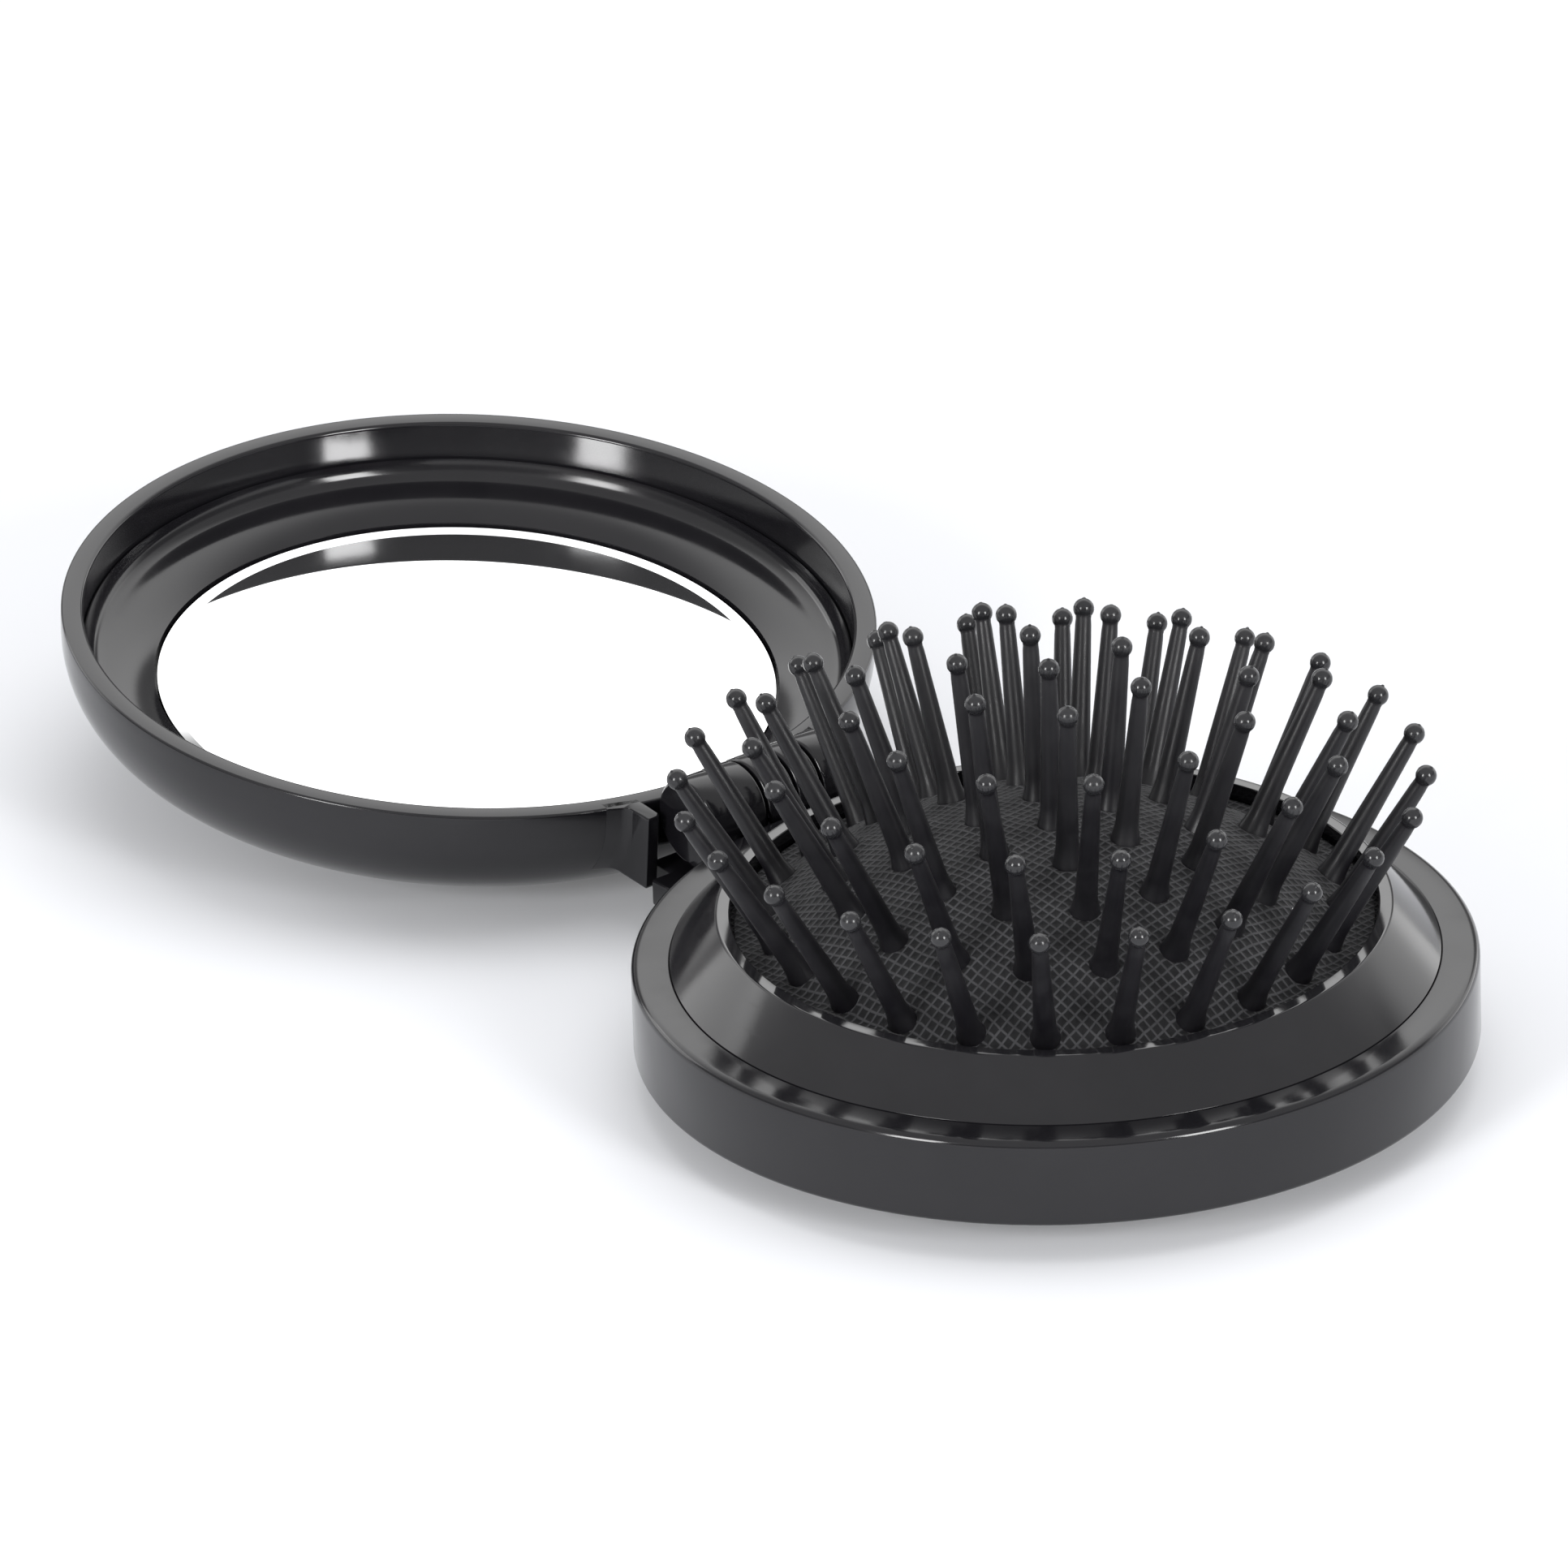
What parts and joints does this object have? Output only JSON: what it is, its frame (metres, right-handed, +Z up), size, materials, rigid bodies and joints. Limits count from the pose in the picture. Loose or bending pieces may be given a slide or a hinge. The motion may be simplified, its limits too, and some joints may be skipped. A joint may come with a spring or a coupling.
{
  "type": "pocket mirror comb",
  "caption": "Round pocket brush that folds into a compact: cushioned pins rise from a ring as the hinged lid opens, and the lid's dish holds a round mirror.",
  "frame": {"origin": "on the tabletop, under the middle of the open compact", "axes": "+X from the lid to the brush, +Y along the hinge, +Z up"},
  "size_m": [0.1478, 0.07, 0.0375],
  "materials": {
    "gloss_black_plastic": "polished",
    "pin_black_plastic": "satin",
    "cushion_rubber": "woven grain",
    "mirror_glass": "polished, ground edge",
    "hinge_steel": "drawn wire",
    "pad_foam": "foam tape"
  },
  "bodies": {
    "base": {"base_shell": "gloss_black_plastic", "collar_ring": "gloss_black_plastic", "hinge_pin": "hinge_steel"},
    "lid": {"lid_shell": "gloss_black_plastic", "lid_liner": "gloss_black_plastic", "mirror": "mirror_glass", "mirror_pad": "pad_foam"},
    "carrier": {"cushion_carrier": "cushion_rubber", "cushion_skin": "cushion_rubber"},
    "middle_ring": {"middle_root_ring": "cushion_rubber"},
    "inner_pins": {"pins_inner": "pin_black_plastic"},
    "centre_pins": {"pins_centre": "pin_black_plastic"},
    "pin_outer_01": {"pin_outer_01": "pin_black_plastic"},
    "pin_outer_02": {"pin_outer_02": "pin_black_plastic"},
    "pin_outer_03": {"pin_outer_03": "pin_black_plastic"},
    "pin_outer_04": {"pin_outer_04": "pin_black_plastic"},
    "pin_outer_05": {"pin_outer_05": "pin_black_plastic"},
    "pin_outer_06": {"pin_outer_06": "pin_black_plastic"},
    "pin_outer_07": {"pin_outer_07": "pin_black_plastic"},
    "pin_outer_08": {"pin_outer_08": "pin_black_plastic"},
    "pin_outer_09": {"pin_outer_09": "pin_black_plastic"},
    "pin_outer_10": {"pin_outer_10": "pin_black_plastic"},
    "pin_outer_11": {"pin_outer_11": "pin_black_plastic"},
    "pin_outer_12": {"pin_outer_12": "pin_black_plastic"},
    "pin_outer_13": {"pin_outer_13": "pin_black_plastic"},
    "pin_outer_14": {"pin_outer_14": "pin_black_plastic"},
    "pin_outer_15": {"pin_outer_15": "pin_black_plastic"},
    "pin_outer_16": {"pin_outer_16": "pin_black_plastic"},
    "pin_outer_17": {"pin_outer_17": "pin_black_plastic"},
    "pin_outer_18": {"pin_outer_18": "pin_black_plastic"},
    "pin_outer_19": {"pin_outer_19": "pin_black_plastic"},
    "pin_outer_20": {"pin_outer_20": "pin_black_plastic"},
    "pin_outer_21": {"pin_outer_21": "pin_black_plastic"},
    "pin_outer_22": {"pin_outer_22": "pin_black_plastic"},
    "pin_outer_23": {"pin_outer_23": "pin_black_plastic"},
    "pin_outer_24": {"pin_outer_24": "pin_black_plastic"},
    "pin_middle_01": {"pin_middle_01": "pin_black_plastic"},
    "pin_middle_02": {"pin_middle_02": "pin_black_plastic"},
    "pin_middle_03": {"pin_middle_03": "pin_black_plastic"},
    "pin_middle_04": {"pin_middle_04": "pin_black_plastic"},
    "pin_middle_05": {"pin_middle_05": "pin_black_plastic"},
    "pin_middle_06": {"pin_middle_06": "pin_black_plastic"},
    "pin_middle_07": {"pin_middle_07": "pin_black_plastic"},
    "pin_middle_08": {"pin_middle_08": "pin_black_plastic"},
    "pin_middle_09": {"pin_middle_09": "pin_black_plastic"},
    "pin_middle_10": {"pin_middle_10": "pin_black_plastic"},
    "pin_middle_11": {"pin_middle_11": "pin_black_plastic"},
    "pin_middle_12": {"pin_middle_12": "pin_black_plastic"},
    "pin_middle_13": {"pin_middle_13": "pin_black_plastic"},
    "pin_middle_14": {"pin_middle_14": "pin_black_plastic"},
    "pin_middle_15": {"pin_middle_15": "pin_black_plastic"},
    "pin_middle_16": {"pin_middle_16": "pin_black_plastic"},
    "pin_middle_17": {"pin_middle_17": "pin_black_plastic"},
    "pin_middle_18": {"pin_middle_18": "pin_black_plastic"}
  },
  "joints": [
    {"name": "lid_hinge", "type": "hinge", "parent": "base", "child": "lid", "pos_m": [-0.00015, 0, 0.01118], "axis": [0, 1, 0], "range_deg": [0, 174]},
    {"name": "cushion_slide", "type": "slide", "parent": "base", "child": "carrier", "axis": [0, 0, -1], "range_m": [0, 0.01201]},
    {"name": "middle_slide", "type": "slide", "parent": "carrier", "child": "middle_ring", "axis": [0, 0, -1], "range_m": [0, 0.00344]},
    {"name": "inner_slide", "type": "slide", "parent": "carrier", "child": "inner_pins", "axis": [0, 0, -1], "range_m": [0, 0.00515]},
    {"name": "centre_slide", "type": "slide", "parent": "carrier", "child": "centre_pins", "axis": [0, 0, -1], "range_m": [0, 0.00784], "deforming": ["cushion_skin"]},
    {"name": "outer_lean_01", "type": "hinge", "parent": "carrier", "child": "pin_outer_01", "pos_m": [0.06162, 0.00123, 0.01371], "axis": [0.0541, -0.9985, 0], "range_deg": [0, 27.2]},
    {"name": "outer_lean_02", "type": "hinge", "parent": "carrier", "child": "pin_outer_02", "pos_m": [0.06053, 0.00709, 0.01371], "axis": [0.3107, -0.9505, 0], "range_deg": [0, 27.2]},
    {"name": "outer_lean_03", "type": "hinge", "parent": "carrier", "child": "pin_outer_03", "pos_m": [0.05796, 0.01245, 0.01371], "axis": [0.5461, -0.8377, 0], "range_deg": [0, 27.2]},
    {"name": "outer_lean_04", "type": "hinge", "parent": "carrier", "child": "pin_outer_04", "pos_m": [0.05408, 0.01698, 0.01371], "axis": [0.7443, -0.6678, 0], "range_deg": [0, 27.2]},
    {"name": "outer_lean_05", "type": "hinge", "parent": "carrier", "child": "pin_outer_05", "pos_m": [0.04917, 0.02034, 0.01371], "axis": [0.8918, -0.4524, 0], "range_deg": [0, 27.2]},
    {"name": "outer_lean_06", "type": "hinge", "parent": "carrier", "child": "pin_outer_06", "pos_m": [0.04355, 0.02232, 0.01371], "axis": [0.9785, -0.2062, 0], "range_deg": [0, 27.2]},
    {"name": "outer_lean_07", "type": "hinge", "parent": "carrier", "child": "pin_outer_07", "pos_m": [0.03762, 0.02277, 0.01371], "axis": [0.9985, 0.0541, 0], "range_deg": [0, 27.2]},
    {"name": "outer_lean_08", "type": "hinge", "parent": "carrier", "child": "pin_outer_08", "pos_m": [0.03177, 0.02168, 0.01371], "axis": [0.9505, 0.3107, 0], "range_deg": [0, 27.2]},
    {"name": "outer_lean_09", "type": "hinge", "parent": "carrier", "child": "pin_outer_09", "pos_m": [0.0264, 0.01911, 0.01371], "axis": [0.8377, 0.5461, 0], "range_deg": [0, 27.2]},
    {"name": "outer_lean_10", "type": "hinge", "parent": "carrier", "child": "pin_outer_10", "pos_m": [0.02188, 0.01523, 0.01371], "axis": [0.6678, 0.7443, 0], "range_deg": [0, 27.2]},
    {"name": "outer_lean_11", "type": "hinge", "parent": "carrier", "child": "pin_outer_11", "pos_m": [0.01851, 0.01032, 0.01371], "axis": [0.4524, 0.8918, 0], "range_deg": [0, 27.2]},
    {"name": "outer_lean_12", "type": "hinge", "parent": "carrier", "child": "pin_outer_12", "pos_m": [0.01654, 0.0047, 0.01371], "axis": [0.2062, 0.9785, 0], "range_deg": [0, 27.2]},
    {"name": "outer_lean_13", "type": "hinge", "parent": "carrier", "child": "pin_outer_13", "pos_m": [0.01608, -0.00123, 0.01371], "axis": [-0.0541, 0.9985, 0], "range_deg": [0, 27.2]},
    {"name": "outer_lean_14", "type": "hinge", "parent": "carrier", "child": "pin_outer_14", "pos_m": [0.01717, -0.00709, 0.01371], "axis": [-0.3107, 0.9505, 0], "range_deg": [0, 27.2]},
    {"name": "outer_lean_15", "type": "hinge", "parent": "carrier", "child": "pin_outer_15", "pos_m": [0.01975, -0.01245, 0.01371], "axis": [-0.5461, 0.8377, 0], "range_deg": [0, 27.2]},
    {"name": "outer_lean_16", "type": "hinge", "parent": "carrier", "child": "pin_outer_16", "pos_m": [0.02362, -0.01698, 0.01371], "axis": [-0.7443, 0.6678, 0], "range_deg": [0, 27.2]},
    {"name": "outer_lean_17", "type": "hinge", "parent": "carrier", "child": "pin_outer_17", "pos_m": [0.02853, -0.02034, 0.01371], "axis": [-0.8918, 0.4524, 0], "range_deg": [0, 27.2]},
    {"name": "outer_lean_18", "type": "hinge", "parent": "carrier", "child": "pin_outer_18", "pos_m": [0.03415, -0.02232, 0.01371], "axis": [-0.9785, 0.2062, 0], "range_deg": [0, 27.2]},
    {"name": "outer_lean_19", "type": "hinge", "parent": "carrier", "child": "pin_outer_19", "pos_m": [0.04008, -0.02277, 0.01371], "axis": [-0.9985, -0.0541, 0], "range_deg": [0, 27.2]},
    {"name": "outer_lean_20", "type": "hinge", "parent": "carrier", "child": "pin_outer_20", "pos_m": [0.04594, -0.02168, 0.01371], "axis": [-0.9505, -0.3107, 0], "range_deg": [0, 27.2]},
    {"name": "outer_lean_21", "type": "hinge", "parent": "carrier", "child": "pin_outer_21", "pos_m": [0.05131, -0.01911, 0.01371], "axis": [-0.8377, -0.5461, 0], "range_deg": [0, 27.2]},
    {"name": "outer_lean_22", "type": "hinge", "parent": "carrier", "child": "pin_outer_22", "pos_m": [0.05582, -0.01523, 0.01371], "axis": [-0.6678, -0.7443, 0], "range_deg": [0, 27.2]},
    {"name": "outer_lean_23", "type": "hinge", "parent": "carrier", "child": "pin_outer_23", "pos_m": [0.05919, -0.01032, 0.01371], "axis": [-0.4524, -0.8918, 0], "range_deg": [0, 27.2]},
    {"name": "outer_lean_24", "type": "hinge", "parent": "carrier", "child": "pin_outer_24", "pos_m": [0.06117, -0.0047, 0.01371], "axis": [-0.2062, -0.9785, 0], "range_deg": [0, 27.2]},
    {"name": "middle_lean_01", "type": "hinge", "parent": "middle_ring", "child": "pin_middle_01", "pos_m": [0.05575, 0.004, 0.01713], "axis": [0.23, -0.9732, 0], "range_deg": [0, 22.5]},
    {"name": "middle_lean_02", "type": "hinge", "parent": "middle_ring", "child": "pin_middle_02", "pos_m": [0.05337, 0.00954, 0.01713], "axis": [0.549, -0.8358, 0], "range_deg": [0, 22.5]},
    {"name": "middle_lean_03", "type": "hinge", "parent": "middle_ring", "child": "pin_middle_03", "pos_m": [0.04923, 0.01393, 0.01713], "axis": [0.8018, -0.5976, 0], "range_deg": [0, 22.5]},
    {"name": "middle_lean_04", "type": "hinge", "parent": "middle_ring", "child": "pin_middle_04", "pos_m": [0.04384, 0.01664, 0.01713], "axis": [0.9578, -0.2874, 0], "range_deg": [0, 22.5]},
    {"name": "middle_lean_05", "type": "hinge", "parent": "middle_ring", "child": "pin_middle_05", "pos_m": [0.03785, 0.01734, 0.01713], "axis": [0.9983, 0.0576, 0], "range_deg": [0, 22.5]},
    {"name": "middle_lean_06", "type": "hinge", "parent": "middle_ring", "child": "pin_middle_06", "pos_m": [0.03198, 0.01595, 0.01713], "axis": [0.9184, 0.3955, 0], "range_deg": [0, 22.5]},
    {"name": "middle_lean_07", "type": "hinge", "parent": "middle_ring", "child": "pin_middle_07", "pos_m": [0.02694, 0.01264, 0.01713], "axis": [0.7278, 0.6858, 0], "range_deg": [0, 22.5]},
    {"name": "middle_lean_08", "type": "hinge", "parent": "middle_ring", "child": "pin_middle_08", "pos_m": [0.02333, 0.00781, 0.01713], "axis": [0.4493, 0.8934, 0], "range_deg": [0, 22.5]},
    {"name": "middle_lean_09", "type": "hinge", "parent": "middle_ring", "child": "pin_middle_09", "pos_m": [0.0216, 0.00203, 0.01713], "axis": [0.1167, 0.9932, 0], "range_deg": [0, 22.5]},
    {"name": "middle_lean_10", "type": "hinge", "parent": "middle_ring", "child": "pin_middle_10", "pos_m": [0.02195, -0.004, 0.01713], "axis": [-0.23, 0.9732, 0], "range_deg": [0, 22.5]},
    {"name": "middle_lean_11", "type": "hinge", "parent": "middle_ring", "child": "pin_middle_11", "pos_m": [0.02433, -0.00954, 0.01713], "axis": [-0.549, 0.8358, 0], "range_deg": [0, 22.5]},
    {"name": "middle_lean_12", "type": "hinge", "parent": "middle_ring", "child": "pin_middle_12", "pos_m": [0.02847, -0.01393, 0.01713], "axis": [-0.8018, 0.5976, 0], "range_deg": [0, 22.5]},
    {"name": "middle_lean_13", "type": "hinge", "parent": "middle_ring", "child": "pin_middle_13", "pos_m": [0.03386, -0.01664, 0.01713], "axis": [-0.9578, 0.2874, 0], "range_deg": [0, 22.5]},
    {"name": "middle_lean_14", "type": "hinge", "parent": "middle_ring", "child": "pin_middle_14", "pos_m": [0.03985, -0.01734, 0.01713], "axis": [-0.9983, -0.0576, 0], "range_deg": [0, 22.5]},
    {"name": "middle_lean_15", "type": "hinge", "parent": "middle_ring", "child": "pin_middle_15", "pos_m": [0.04572, -0.01595, 0.01713], "axis": [-0.9184, -0.3955, 0], "range_deg": [0, 22.5]},
    {"name": "middle_lean_16", "type": "hinge", "parent": "middle_ring", "child": "pin_middle_16", "pos_m": [0.05076, -0.01264, 0.01713], "axis": [-0.7278, -0.6858, 0], "range_deg": [0, 22.5]},
    {"name": "middle_lean_17", "type": "hinge", "parent": "middle_ring", "child": "pin_middle_17", "pos_m": [0.05437, -0.00781, 0.01713], "axis": [-0.4493, -0.8934, 0], "range_deg": [0, 22.5]},
    {"name": "middle_lean_18", "type": "hinge", "parent": "middle_ring", "child": "pin_middle_18", "pos_m": [0.0561, -0.00203, 0.01713], "axis": [-0.1167, -0.9932, 0], "range_deg": [0, 22.5]}
  ],
  "couplings": [
    {"joint": "cushion_slide", "follows": "lid_hinge", "m_per_rad": 0.0039499},
    {"joint": "middle_slide", "follows": "lid_hinge", "m_per_rad": 0.0011295},
    {"joint": "inner_slide", "follows": "lid_hinge", "m_per_rad": 0.0016912},
    {"joint": "centre_slide", "follows": "lid_hinge", "m_per_rad": 0.0025797},
    {"joint": "outer_lean_01", "follows": "lid_hinge", "ratio": 0.15575},
    {"joint": "outer_lean_02", "follows": "lid_hinge", "ratio": 0.15575},
    {"joint": "outer_lean_03", "follows": "lid_hinge", "ratio": 0.15575},
    {"joint": "outer_lean_04", "follows": "lid_hinge", "ratio": 0.15575},
    {"joint": "outer_lean_05", "follows": "lid_hinge", "ratio": 0.15575},
    {"joint": "outer_lean_06", "follows": "lid_hinge", "ratio": 0.15575},
    {"joint": "outer_lean_07", "follows": "lid_hinge", "ratio": 0.15575},
    {"joint": "outer_lean_08", "follows": "lid_hinge", "ratio": 0.15575},
    {"joint": "outer_lean_09", "follows": "lid_hinge", "ratio": 0.15575},
    {"joint": "outer_lean_10", "follows": "lid_hinge", "ratio": 0.15575},
    {"joint": "outer_lean_11", "follows": "lid_hinge", "ratio": 0.15575},
    {"joint": "outer_lean_12", "follows": "lid_hinge", "ratio": 0.15575},
    {"joint": "outer_lean_13", "follows": "lid_hinge", "ratio": 0.15575},
    {"joint": "outer_lean_14", "follows": "lid_hinge", "ratio": 0.15575},
    {"joint": "outer_lean_15", "follows": "lid_hinge", "ratio": 0.15575},
    {"joint": "outer_lean_16", "follows": "lid_hinge", "ratio": 0.15575},
    {"joint": "outer_lean_17", "follows": "lid_hinge", "ratio": 0.15575},
    {"joint": "outer_lean_18", "follows": "lid_hinge", "ratio": 0.15575},
    {"joint": "outer_lean_19", "follows": "lid_hinge", "ratio": 0.15575},
    {"joint": "outer_lean_20", "follows": "lid_hinge", "ratio": 0.15575},
    {"joint": "outer_lean_21", "follows": "lid_hinge", "ratio": 0.15575},
    {"joint": "outer_lean_22", "follows": "lid_hinge", "ratio": 0.15575},
    {"joint": "outer_lean_23", "follows": "lid_hinge", "ratio": 0.15575},
    {"joint": "outer_lean_24", "follows": "lid_hinge", "ratio": 0.15575},
    {"joint": "middle_lean_01", "follows": "lid_hinge", "ratio": 0.12874},
    {"joint": "middle_lean_02", "follows": "lid_hinge", "ratio": 0.12874},
    {"joint": "middle_lean_03", "follows": "lid_hinge", "ratio": 0.12874},
    {"joint": "middle_lean_04", "follows": "lid_hinge", "ratio": 0.12874},
    {"joint": "middle_lean_05", "follows": "lid_hinge", "ratio": 0.12874},
    {"joint": "middle_lean_06", "follows": "lid_hinge", "ratio": 0.12874},
    {"joint": "middle_lean_07", "follows": "lid_hinge", "ratio": 0.12874},
    {"joint": "middle_lean_08", "follows": "lid_hinge", "ratio": 0.12874},
    {"joint": "middle_lean_09", "follows": "lid_hinge", "ratio": 0.12874},
    {"joint": "middle_lean_10", "follows": "lid_hinge", "ratio": 0.12874},
    {"joint": "middle_lean_11", "follows": "lid_hinge", "ratio": 0.12874},
    {"joint": "middle_lean_12", "follows": "lid_hinge", "ratio": 0.12874},
    {"joint": "middle_lean_13", "follows": "lid_hinge", "ratio": 0.12874},
    {"joint": "middle_lean_14", "follows": "lid_hinge", "ratio": 0.12874},
    {"joint": "middle_lean_15", "follows": "lid_hinge", "ratio": 0.12874},
    {"joint": "middle_lean_16", "follows": "lid_hinge", "ratio": 0.12874},
    {"joint": "middle_lean_17", "follows": "lid_hinge", "ratio": 0.12874},
    {"joint": "middle_lean_18", "follows": "lid_hinge", "ratio": 0.12874}
  ]
}
